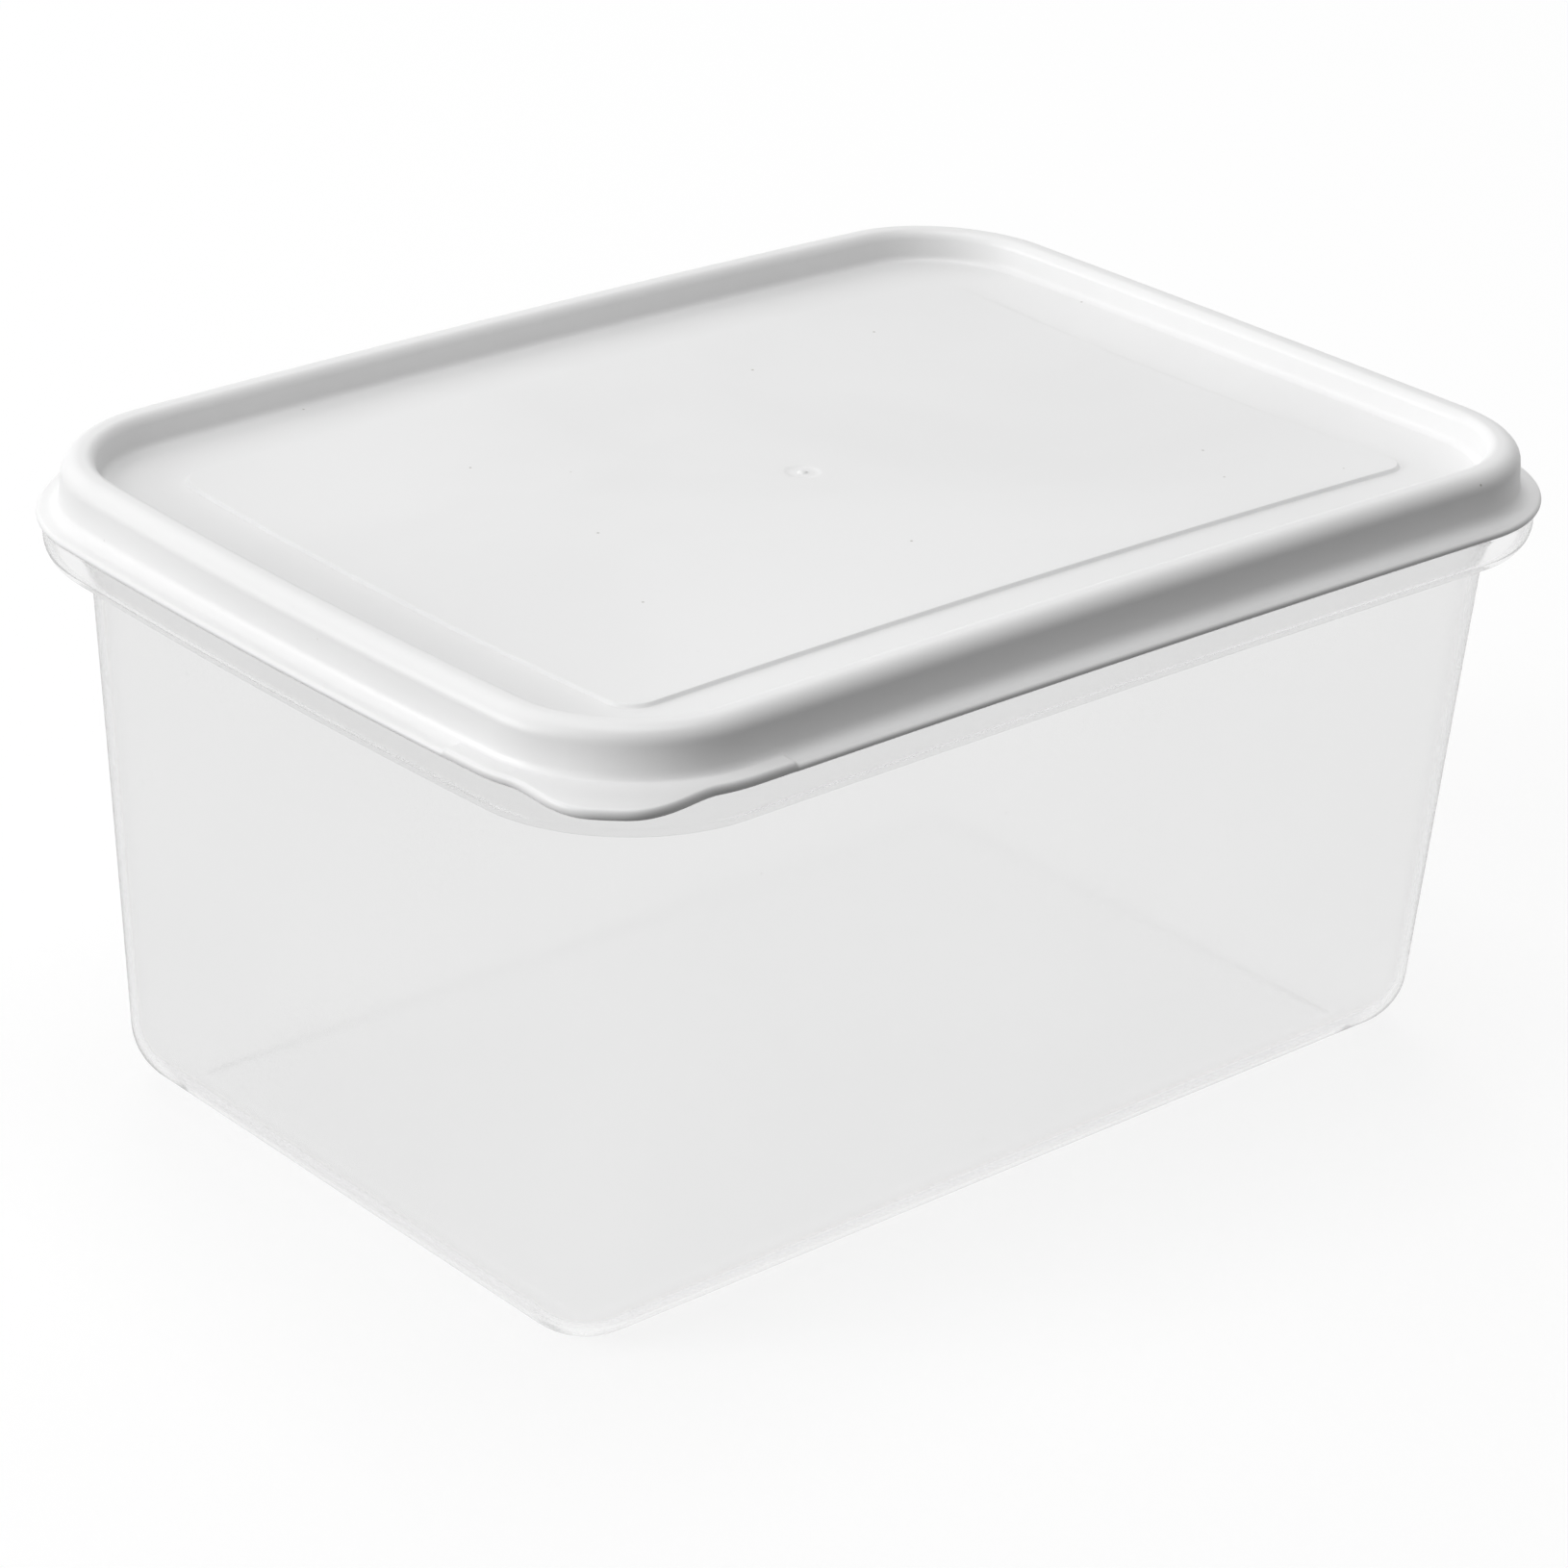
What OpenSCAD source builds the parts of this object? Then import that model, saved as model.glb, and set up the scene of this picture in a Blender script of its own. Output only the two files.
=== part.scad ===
// Rectangular dough proofing tub with a snap-over lid, in millimetres.
// The origin is the centre of the tub's underside and +Z is up. The lid's pull tab is at the corner
// towards -X and -Y. Every outline is a rounded rectangle, given as an inset from the lid's edge.

/* [Lid] */
// Length of the lid over its edge flange
lid_l = 270; // [240:1:320]
// Width of the lid over its edge flange
lid_w = 203; // [180:1:240]
// Corner radius of the edge flange
lid_r = 36; // [30:1:45]
// Thickness of the lid's panel and beads
lid_t = 1.4; // [1:0.1:1.6]
// Thickness of the edge flange
flange_t = 1.6; // [1.2:0.1:2]
// Flat width of the edge flange outside the bead
flange_flat = 2.1; // [1.5:0.1:4]
// Hollow radius where the bead meets the flange
bead_foot_r = 2.3; // [1.5:0.1:2.8]
// Height of the bead's top over the underside of the flange
bead_h = 12.2; // [11.5:0.1:16]
// Outer radius along the top of the bead
bead_r = 3.6; // [2.5:0.1:4]
// Flat width along the top of the bead
bead_flat = 1.3; // [0.8:0.1:3]
// Inner radius along the top of the bead
bead_in_r = 2.2; // [1.8:0.1:3]
// How far the bead's walls lean in from foot to top
bead_draft = 0.6; // [0.2:0.1:1]
// Depth of the lid's floor below the top of the bead
floor_drop = 6.7; // [5:0.1:8]
// Radius between the floor and the bead's inner wall
floor_r = 1.5; // [1:0.1:2]
// Flat margin of the floor around the raised panel
floor_margin = 15.8; // [10:0.1:30]
// Rise of the panel over the floor
panel_rise = 0.8; // [0.4:0.1:1.4]
// Corner radius of the panel
panel_r = 6; // [4:0.5:12]

/* [Pull tab] */
// How far the tab reaches out of the corner
tab_out = 7.5; // [4:0.5:12]
// Part of the corner's arc that stays plain at each end of the tab
tab_start = 0.15; // [0:0.05:0.2]
// Part of the corner's arc over which each end of the tab swells
tab_ease = 0.3; // [0.15:0.05:0.3]
// Height of the thumb pad over the flange
pad_h = 0.7; // [0.3:0.1:1.2]
// How far the pad runs along each side past the corner's arc
pad_run = 8; // [4:1:24]
// Length over which each end of the pad slopes away
pad_edge = 1.6; // [0.8:0.1:3]

/* [Tub] */
// Height of the ledge that carries the lid
ledge_z = 126.3; // [90:1:200]
// Thickness of the wall
wall = 1.6; // [1.2:0.1:1.8]
// Thickness of the floor
floor_t = 1.8; // [1.4:0.1:3]
// Length of the tub at its base, over the walls
base_l = 241; // [200:1:245]
// Width of the tub at its base, over the walls
base_w = 156; // [120:1:180]
// Corner radius of the walls at the base
base_r = 15; // [14:0.5:24]
// Radius between the walls and the underside
base_fillet = 13; // [8:0.5:13.5]
// Width of the foot ring that the tub rests on
foot_w = 2; // [1.5:0.1:4]
// Corner radius of the foot ring
foot_r = 1.5; // [1:0.5:2]
// Depth of the hollow in the underside
foot_h = 0.8; // [0.5:0.1:1.5]

/* [Rim] */
// Inset of the skirt's outer face from the lid's edge
skirt_in = 1.2; // [0.8:0.1:3]
// Thickness of the skirt and the ledge
skirt_t = 1.4; // [1:0.1:1.8]
// Straight part of the skirt below the ledge
skirt_drop = 3.2; // [2:0.1:6]
// Radius to which the skirt curls in
skirt_curl_r = 6; // [4:0.5:8]
// How far round the skirt curls, in degrees
skirt_curl = 48; // [20:1:60]
// Step inwards from the upstand to the wall below the ledge
shoulder = 2.4; // [0.6:0.1:3]
// Radius on the outer edge of the ledge
ledge_edge = 0.5; // [0.3:0.1:0.7]
// How far the rounded bead on the upstand stands out
snap_out = 0.7; // [0.3:0.1:0.9]
// Height of that bead's middle below the upstand's top
snap_drop = 2; // [1.6:0.1:4]
// Height of each half of that bead
snap_h = 1.2; // [0.8:0.1:1.4]
// Radius along the inner top edge of the upstand
up_r = 0.8; // [0.4:0.1:1]

/* [Fit] */
// Gap between the flange and the ledge
seat_gap = 0.3; // [0.2:0.05:0.6]
// Gap between the upstand and the lid's channel, at the sides
side_gap = 0.45; // [0.3:0.05:0.8]
// Gap between the upstand and the lid's channel, at the top
top_gap = 0.5; // [0.3:0.05:1]

/* [Set of the moulding] */
// Rise of the long sides' middles over the corners
arch = 1.2; // [0:0.1:2]
// Drop of the short sides' middles below the corners
sag = 0.6; // [0:0.1:1.5]
// Drop of the panel's short sides below its corners
panel_sag = 1.6; // [0:0.1:2]
// Swell of the short sides' middles
end_bow = 2.2; // [0:0.1:4]
// Swell of the long sides' middles
side_bow = 0.5; // [0:0.1:3]

/* [Smoothness] */
// Steps in each corner's quarter turn
arc_steps = 10; // [6:1:10]
// Steps in the middle of each side
side_steps = 4; // [3:1:6]
// Steps round each of the base's fillets
fillet_steps = 6; // [4:1:8]
// Steps round the top of the bead and round the skirt's curl
curl_steps = 5; // [4:1:6]
// Steps round each smaller radius
round_steps = 4; // [3:1:5]
// Steps round the finest edges, where little shows
edge_steps = 2; // [2:1:3]

/* [Hidden] */

// Insets and heights of the lid's bead, out to in; heights are over the flange's underside
flange_z = ledge_z + seat_gap;
bead_face = flange_flat + bead_foot_r;
bead_arc_in = bead_face + bead_draft + bead_r;
bead_flat_end = bead_arc_in + bead_flat;
bead_in_face = bead_flat_end + bead_in_r;
bead_in_foot = bead_in_face + bead_draft;
floor_z = bead_h - floor_drop;
floor_in = bead_in_foot + floor_r;
panel_in = floor_in + floor_margin;
edge_r = flange_t / 2;
panel_slope = panel_rise / 2;
// Where the panel has a ring between its middle and its edge, as a share of its outline
panel_mid = 0.5;

// The channel under the bead, and the upstand that stands in it
channel_out = bead_face + bead_draft + lid_t;
channel_in = bead_in_face - lid_t;
up_out = channel_out + side_gap + snap_out;
up_in = up_out + wall;
up_z = flange_z + bead_h - lid_t - top_gap;
wall_in = up_out + shoulder;
wall_z = ledge_z - skirt_t;
skirt_z = ledge_z - skirt_drop;
// Where the walls have rings between the base and the shoulder, as shares of their height
wall_marks = [0.4, 0.75];

function smooth(t) = let (u = min(max(t, 0), 1)) u * u * (3 - 2 * u);
function mix(a, b, t) = a + (b - a) * t;

// One quarter turn about a centre [inset, height], as [inset, height] points
function turn(c, r, from, to, steps) =
    [for (k = [0:steps]) let (a = mix(from, to, k / steps)) [c[0] + r * cos(a), c[1] + r * sin(a)]];

// Places along a straight side, with a close pair where the thumb pad ends
function side_marks(len) = concat(
    [pad_run, pad_run + pad_edge],
    [for (k = [1:side_steps - 1]) mix(pad_run + pad_edge, len - pad_run - pad_edge, k / side_steps)],
    [len - pad_run - pad_edge, len - pad_run]);

// How far the tab and its pad show at a place on the outline: the corner towards -X and -Y is number 2
function tab_at(corner, t) =
    corner == 2 ? smooth((t - tab_start) / tab_ease) * smooth((1 - tab_start - t) / tab_ease) : 0;
function pad_at(run, len, first, last) =
    max(first && run <= pad_run ? 1 : 0, last && run >= len - pad_run ? 1 : 0);

// A closed outline as [x, y, tab, pad, way out]: each corner's arc and then the side after it
function outline(l, w, r) = let (
    cx = l / 2 - r, cy = w / 2 - r,
    centres = [[cx, cy], [-cx, cy], [-cx, -cy], [cx, -cy]])
    [for (q = [0:3]) each let (
        c = centres[q], n = centres[(q + 1) % 4], a1 = 90 * (q + 1),
        len = norm(n - c), way = (n - c) / len, start = c + r * [cos(a1), sin(a1)])
        concat(
            [for (k = [0:arc_steps]) let (a = 90 * q + 90 * k / arc_steps)
                [c[0] + r * cos(a), c[1] + r * sin(a), tab_at(q, k / arc_steps), q == 2 ? 1 : 0, a]],
            [for (run = side_marks(len)) let (p = start + way * run)
                [p[0], p[1], 0, pad_at(run, len, q == 2, q == 1), a1]])];

// A ring of the skin. set is how much of the moulding's arch and sag it has, bow how much of its swell
// and tab how much of the pull tab. pad is the height to which the thumb pad lifts it, and part is its
// scale within the outline.
function ring(l, w, r, z, set = 1, bow = 1, drop = sag, tab = 0, pad = undef, part = 1) =
    [for (p = outline(l, w, r)) let (
        u = part * 2 * p[0] / l, v = part * 2 * p[1] / w,
        swell = [end_bow * (1 - v * v) * sign(u) * pow(min(abs(u), 1), 4),
                 side_bow * (1 - u * u) * sign(v) * pow(min(abs(v), 1), 4)] * bow,
        out = p[2] * tab_out * tab * [cos(p[4]), sin(p[4])],
        lift = set * (arch * (1 - u * u) - drop * (1 - v * v)),
        top = is_undef(pad) ? z : mix(z, max(z, pad), p[3]))
        [part * p[0] + swell[0] + out[0], part * p[1] + swell[1] + out[1], top + lift]];

function inset_ring(i, z, tab = 0, pad = undef) =
    ring(lid_l - 2 * i, lid_w - 2 * i, max(lid_r - i, panel_r), z, tab = tab, pad = pad);
function panel_ring(i, z, part = 1) =
    ring(lid_l - 2 * i, lid_w - 2 * i, panel_r, z, bow = 0, drop = panel_sag, part = part);

// A closed skin from the centre of one cap, over the rings, to the centre of the other
module skin(rings, start, end) {
    n = len(rings[0]);
    m = len(rings);
    points = concat([start], [for (r = rings) each r], [end]);
    faces = concat(
        [for (i = [0:n - 1]) [0, 1 + i, 1 + (i + 1) % n]],
        [for (j = [0:m - 2]) for (i = [0:n - 1]) let (
            a = 1 + j * n + i, b = 1 + j * n + (i + 1) % n, c = a + n, d = b + n)
            each [[a, c, b], [b, c, d]]],
        [for (i = [0:n - 1]) [m * n + 1, (m - 1) * n + 1 + (i + 1) % n, (m - 1) * n + 1 + i]]);
    polyhedron(points, faces, convexity = 6);
}

module lid() {
    z0 = flange_z;
    pad_z = z0 + flange_t + pad_h;
    top = z0 + bead_h;
    lip = turn([edge_r, z0 + edge_r], edge_r, 270, 90, round_steps);
    foot = turn([flange_flat, z0 + flange_t + bead_foot_r], bead_foot_r, 270, 360, round_steps);
    outer_arc = turn([bead_arc_in, top - bead_r], bead_r, 180, 90, curl_steps);
    inner_arc = turn([bead_flat_end, top - bead_in_r], bead_in_r, 90, 0, round_steps);
    floor_arc = turn([floor_in, z0 + floor_z + floor_r], floor_r, 180, 270, round_steps);
    under_arc = turn([bead_flat_end, top - bead_in_r], bead_in_r - lid_t, 0, 90, edge_steps);
    channel_arc = turn([bead_arc_in, top - bead_r], bead_r - lid_t, 90, 180, round_steps);
    under_z = z0 + floor_z - lid_t;
    panel_z = z0 + floor_z + panel_rise;
    rings = concat(
        [panel_ring(panel_in + panel_slope, under_z + panel_rise, panel_mid)],
        [panel_ring(panel_in + panel_slope, under_z + panel_rise)],
        [panel_ring(panel_in, under_z)],
        [inset_ring(channel_in + bead_draft, under_z)],
        [for (p = under_arc) inset_ring(p[0], p[1])],
        [for (p = channel_arc) inset_ring(p[0], p[1])],
        [inset_ring(bead_face + lid_t, z0)],
        [for (p = lip) inset_ring(p[0], p[1], tab = 1, pad = p[1] > z0 + edge_r ? pad_z : undef)],
        [for (p = foot) inset_ring(p[0], p[1], pad = pad_z)],
        [for (p = outer_arc) inset_ring(p[0], p[1])],
        [for (p = inner_arc) inset_ring(p[0], p[1])],
        [for (p = floor_arc) inset_ring(p[0], p[1])],
        [panel_ring(panel_in - panel_slope, z0 + floor_z)],
        [panel_ring(panel_in, panel_z)],
        [panel_ring(panel_in, panel_z, panel_mid)]);
    dish = arch - panel_sag;
    color([0.93, 0.93, 0.93])
        skin(rings, [0, 0, under_z + panel_rise + dish], [0, 0, panel_z + dish]);
}

// The tub's wall outline at a height, from the base up to the shoulder
function wall_at(z) = let (t = z / wall_z)
    [mix(base_l, lid_l - 2 * wall_in, t), mix(base_w, lid_w - 2 * wall_in, t),
     mix(base_r, lid_r - wall_in, t), t];
function wall_ring(z, inset = 0) = let (s = wall_at(z))
    ring(s[0] - 2 * inset, s[1] - 2 * inset, max(s[2] - inset, foot_r), z, s[3] * s[3], s[3] * s[3]);

module tub() {
    curl_c = [skirt_in + skirt_curl_r, skirt_z];
    inside_z = foot_h + floor_t;
    in_fillet = base_fillet - wall;
    foot_in = base_fillet + foot_w;
    foot_l = base_l - 2 * foot_in;
    foot_wide = base_w - 2 * foot_in;
    outer_fillet = turn([base_fillet, base_fillet], base_fillet, 270, 180, fillet_steps);
    inner_fillet = turn([base_fillet, inside_z + in_fillet], in_fillet, 180, 270, fillet_steps);
    skirt_out = turn(curl_c, skirt_curl_r, 180 + skirt_curl, 180, curl_steps);
    skirt_inside = turn(curl_c, skirt_curl_r - skirt_t, 180, 180 + skirt_curl, curl_steps);
    up_arc = turn([up_in - up_r, up_z - up_r], up_r, 90, 0, edge_steps);
    snap_z = up_z - snap_drop;
    rings = concat(
        [for (z = [foot_h, 0]) ring(foot_l, foot_wide, foot_r, z, 0, 0)],
        [for (p = outer_fillet) wall_ring(p[1], p[0])],
        [for (t = wall_marks) wall_ring(wall_z * t)],
        [wall_ring(wall_z)],
        [inset_ring(skirt_in + skirt_t, wall_z)],
        [for (p = skirt_inside) inset_ring(p[0], p[1])],
        [for (p = skirt_out) inset_ring(p[0], p[1])],
        [inset_ring(skirt_in, ledge_z - ledge_edge), inset_ring(skirt_in + ledge_edge, ledge_z)],
        [inset_ring(up_out, ledge_z), inset_ring(up_out, snap_z - snap_h)],
        [inset_ring(up_out - snap_out, snap_z), inset_ring(up_out - snap_out, snap_z + snap_h / 2)],
        [for (p = up_arc) inset_ring(p[0], p[1])],
        [inset_ring(up_in, ledge_z)],
        [wall_ring(wall_z, wall)],
        [for (k = [len(wall_marks) - 1:-1:0]) wall_ring(wall_z * wall_marks[k], wall)],
        [for (p = inner_fillet) wall_ring(p[1], p[0])]);
    color([0.87, 0.88, 0.88, 0.75]) skin(rings, [0, 0, foot_h], [0, 0, inside_z]);
}

tub();
lid();
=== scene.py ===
"""A dough proofing tub with its snap-over lid, dressed for a studio photograph.

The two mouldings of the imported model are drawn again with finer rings, smooth radii and procedural
plastics, and stand on a pale floor in soft light. Sizes in the classes are in millimetres, as in the
part's source. Heights are over the plane that the tub rests on.
"""
import logging
import math
from dataclasses import dataclass, field
from enum import Enum
from typing import Callable, Optional

import bmesh
import bpy
from mathutils import Matrix, Vector


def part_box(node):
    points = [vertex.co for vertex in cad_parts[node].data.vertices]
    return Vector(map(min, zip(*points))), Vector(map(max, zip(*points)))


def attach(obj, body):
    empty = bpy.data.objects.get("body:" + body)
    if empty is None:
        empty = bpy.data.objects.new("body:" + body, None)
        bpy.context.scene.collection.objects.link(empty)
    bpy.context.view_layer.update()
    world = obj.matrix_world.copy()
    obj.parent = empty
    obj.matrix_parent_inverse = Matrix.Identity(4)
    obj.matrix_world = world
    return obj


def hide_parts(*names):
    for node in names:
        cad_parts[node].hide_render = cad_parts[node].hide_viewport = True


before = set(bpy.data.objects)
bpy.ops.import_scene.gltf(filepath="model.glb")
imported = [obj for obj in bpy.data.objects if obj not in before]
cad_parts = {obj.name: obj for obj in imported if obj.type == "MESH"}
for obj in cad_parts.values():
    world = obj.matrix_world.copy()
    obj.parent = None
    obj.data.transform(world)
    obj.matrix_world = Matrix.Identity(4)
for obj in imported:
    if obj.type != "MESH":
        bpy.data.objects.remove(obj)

LOG = logging.getLogger("proofing_tub")
MM = 0.001

# Width and height of the photograph, in pixels.
PHOTO_SIDE = 1630
# Length of the straights at a path's two ends, which only give them their direction.
LEAD = 3.0
# Turn, in radians, under which a path's corner counts as straight.
STRAIGHT = 1e-3
# Power by which the rings of a face crowd towards its middle.
CROWDING = 1.3

Ring = list[Vector]
Point = tuple[float, float]
Colour = tuple[float, float, float]
Socket = bpy.types.NodeSocket


class Cap(Enum):
    """The two faces of a moulding's middle, one of which carries the mark of its mould's gate."""

    TOP = "top"
    UNDERSIDE = "underside"


class Corner(Enum):
    """The four corners of an outline, in the order in which it is drawn."""

    FAR_RIGHT = 0
    FAR_LEFT = 1
    NEAR_LEFT = 2
    NEAR_RIGHT = 3


def smooth(share: float) -> float:
    """Returns a share from 0 to 1 with its ends eased."""
    held = min(max(share, 0.0), 1.0)
    return held * held * (3 - 2 * held)


def mix(a: float, b: float, share: float) -> float:
    """Returns the value that lies that share of the way from a to b."""
    return a + (b - a) * share


def pointing(bearing: float, height: float) -> Vector:
    """Returns the unit vector of a bearing from +X and a height over the horizon, both in degrees."""
    level = math.cos(math.radians(height))
    return Vector((math.cos(math.radians(bearing)) * level, math.sin(math.radians(bearing)) * level,
                   math.sin(math.radians(height))))


@dataclass(frozen=True)
class Spot:
    """A place on an outline.

    Args:
        corner: The corner whose arc the place is on, or whose side follows it.
        share: How far along the corner's quarter turn it is, from 0 to 1.
        run: How far along the side after the corner it is, from 0 to 1, or None on the arc.
    """

    corner: Corner
    share: float
    run: Optional[float] = None

    @property
    def way(self) -> float:
        """The angle in which the outline faces here, in radians."""
        return math.radians(90 * (self.corner.value + self.share))


@dataclass(frozen=True)
class Path:
    """A line of points across a moulding's wall, with rounded corners.

    Args:
        points: Each corner as (inset, height, radius), with a first and a last point that only give the
            direction of the first and the last straight.
        steps: Pieces in each rounded corner.
        hold: Length beside each rounded corner where the straight stays true.
    """

    points: tuple[tuple[float, float, float], ...]
    steps: int = 7
    hold: float = 0.25

    def rounded(self) -> list[Point]:
        """Rounds the line's corners.

        Returns:
            The line as (inset, height) points, with an arc in place of each corner and without its ends.
        """
        line: list[Point] = []
        for before, here, after in zip(self.points, self.points[1:], self.points[2:]):
            line += self._corner(Vector(before[:2]), Vector(here[:2]), Vector(after[:2]), here[2])
        return line

    def _corner(self, before: Vector, here: Vector, after: Vector, radius: float) -> list[Point]:
        """Rounds one corner.

        Args:
            before: The corner before this one.
            here: The corner itself.
            after: The corner after it.
            radius: The arc's radius, or 0 for a sharp corner.

        Returns:
            The points of the corner's arc, and one on each straight beside it, which holds the straight true.
        """
        back, on = (before - here).normalized(), (after - here).normalized()
        opening = back.angle(on)
        if radius == 0 or math.pi - opening < STRAIGHT:
            return [tuple(here)]
        reach = radius / math.tan(opening / 2)
        centre = here + (back + on).normalized() * radius / math.sin(opening / 2)
        start, end = here + back * reach - centre, here + on * reach - centre
        turn = math.pi - opening
        line = [tuple(here + back * (reach + self.hold))]
        for k in range(self.steps + 1):
            across = start * math.sin(turn * (1 - k / self.steps)) + end * math.sin(turn * k / self.steps)
            line.append(tuple(centre + across / math.sin(turn)))
        return [*line, tuple(here + on * (reach + self.hold))]


@dataclass(frozen=True)
class Outline:
    """The rounded rectangle that both mouldings follow, and how the plastic has set since it was moulded.

    Args:
        length: Length over the lid's edge, along X.
        width: Width over the lid's edge, along Y.
        corner: Radius of the lid's corners.
        arch: Rise of the long sides' middles over the corners.
        sag: Drop of the short sides' middles below the corners.
        end_bow: Swell of the short sides' middles.
        side_bow: Swell of the long sides' middles.
        least_corner: Smallest corner radius of an inset outline.
        arc_steps: Pieces in each corner's quarter turn.
        side_steps: Pieces in each side.
        close: Distances from a side's ends, in millimetres, that get places of their own, for the pad's ends.
        clear: Share of a side around each such place where it has no other.
    """

    length: float = 270.0
    width: float = 203.0
    corner: float = 36.0
    arch: float = 1.2
    sag: float = 0.6
    end_bow: float = 2.2
    side_bow: float = 0.5
    least_corner: float = 6.0
    arc_steps: int = 40
    side_steps: int = 22
    close: tuple[float, ...] = (7.6, 8.0, 8.2, 8.4, 8.6, 8.8, 9.0, 9.4)
    clear: float = 0.002

    def spots(self) -> list[Spot]:
        """Lists the places of a ring.

        Returns:
            The places in order, close together where a side meets an arc.
        """
        places: list[Spot] = []
        for corner in Corner:
            places += [Spot(corner, k / self.arc_steps) for k in range(self.arc_steps + 1)]
            places += [Spot(corner, 1.0, run) for run in self.runs(corner)]
        return places

    def runs(self, corner: Corner) -> list[float]:
        """Lists the places along a side.

        Args:
            corner: The corner that the side follows.

        Returns:
            The shares of the side's length at which it has places.
        """
        along = self.length if corner in (Corner.FAR_RIGHT, Corner.NEAR_LEFT) else self.width
        straight = along - 2 * self.corner
        even = [(1 - math.cos(math.pi * k / self.side_steps)) / 2 for k in range(1, self.side_steps)]
        near = [gap / straight for gap in self.close]
        own = [*near, *(1 - share for share in near)]
        held = [run for run in even if min(abs(run - share) for share in own) > self.clear]
        return sorted([*held, *own])

    def at(self, spot: Spot, length: float, width: float, corner: float) -> Vector:
        """Finds where a spot lies on a rounded rectangle.

        Args:
            spot: The spot.
            length: The rectangle's length.
            width: Its width.
            corner: Its corner radius.

        Returns:
            The place in the plan.
        """
        half_x, half_y = length / 2 - corner, width / 2 - corner
        centres = (Vector((half_x, half_y)), Vector((-half_x, half_y)),
                   Vector((-half_x, -half_y)), Vector((half_x, -half_y)))
        centre = centres[spot.corner.value]
        place = centre + corner * Vector((math.cos(spot.way), math.sin(spot.way)))
        if spot.run is None:
            return place
        return place + (centres[(spot.corner.value + 1) % 4] - centre) * spot.run

    def lift(self, u: float, v: float, drop: float) -> float:
        """Returns how far the set of the plastic lifts a place at shares u and v of the half sizes."""
        return self.arch * (1 - u * u) - drop * (1 - v * v)

    def swell(self, u: float, v: float) -> Vector:
        """Returns how far the sides' swell carries a place at shares u and v of the half sizes."""
        return Vector((self.end_bow * (1 - v * v) * math.copysign(min(abs(u), 1) ** 4, u),
                       self.side_bow * (1 - u * u) * math.copysign(min(abs(v), 1) ** 4, v)))


class Skin:
    """A closed skin, drawn out ring by ring from the middle of one face to the middle of the other."""

    def __init__(self, places: Ring, middle: Vector) -> None:
        """Starts the skin as a fan.

        Args:
            places: The fan's edge, in millimetres.
            middle: The fan's middle, in millimetres.
        """
        self.mesh = bmesh.new()
        bmesh.ops.create_circle(self.mesh, cap_ends=True, cap_tris=True, segments=len(places), radius=1.0)
        edge = [v for v in self.mesh.verts if v.is_boundary]
        hub = next(v for v in self.mesh.verts if not v.is_boundary)
        self.ring = sorted(edge, key=lambda v: math.atan2(v.co.y, v.co.x))
        hub.co = middle * MM
        self._move(places)

    def _move(self, places: Ring) -> None:
        """Sets the open ring on its places, in millimetres."""
        for vert, place in zip(self.ring, places, strict=True):
            vert.co = place * MM

    def _order(self) -> None:
        """Sorts the faces by their points, because extruding leaves them in another order each run."""
        self.mesh.verts.index_update()
        faces = sorted(self.mesh.faces, key=lambda face: sorted(vert.index for vert in face.verts))
        rank = {face: k for k, face in enumerate(faces)}
        self.mesh.faces.sort(key=rank.get)

    def draw(self, places: Ring) -> None:
        """Draws the open ring out.

        Args:
            places: Where the ring goes, in millimetres.
        """
        pairs = zip(self.ring, self.ring[1:] + self.ring[:1])
        made = bmesh.ops.extrude_edge_only(self.mesh, edges=[self.mesh.edges.get(pair) for pair in pairs])
        fresh = {item for item in made["geom"] if isinstance(item, bmesh.types.BMVert)}
        drawn = []
        for vert in self.ring:
            drawn.append(next(e.other_vert(vert) for e in vert.link_edges if e.other_vert(vert) in fresh))
        self.ring = drawn
        self._move(places)

    def close(self, middle: Vector, name: str, sharp: float = 50.0) -> bpy.types.Object:
        """Closes the open ring and makes the skin an object.

        Args:
            middle: Where the last ring closes, in millimetres.
            name: The object's name.
            sharp: Angle in degrees over which an edge is drawn sharp.

        Returns:
            The object, at the origin, with its faces outwards.
        """
        self.draw([middle] * len(self.ring))
        bmesh.ops.pointmerge(self.mesh, verts=self.ring, merge_co=middle * MM)
        bmesh.ops.recalc_face_normals(self.mesh, faces=self.mesh.faces)
        for face in self.mesh.faces:
            face.smooth = True
        self._order()
        data = bpy.data.meshes.new(name)
        self.mesh.to_mesh(data)
        self.mesh.free()
        data.set_sharp_from_angle(angle=math.radians(sharp))
        piece = bpy.data.objects.new(name, data)
        bpy.context.collection.objects.link(piece)
        return piece


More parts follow.
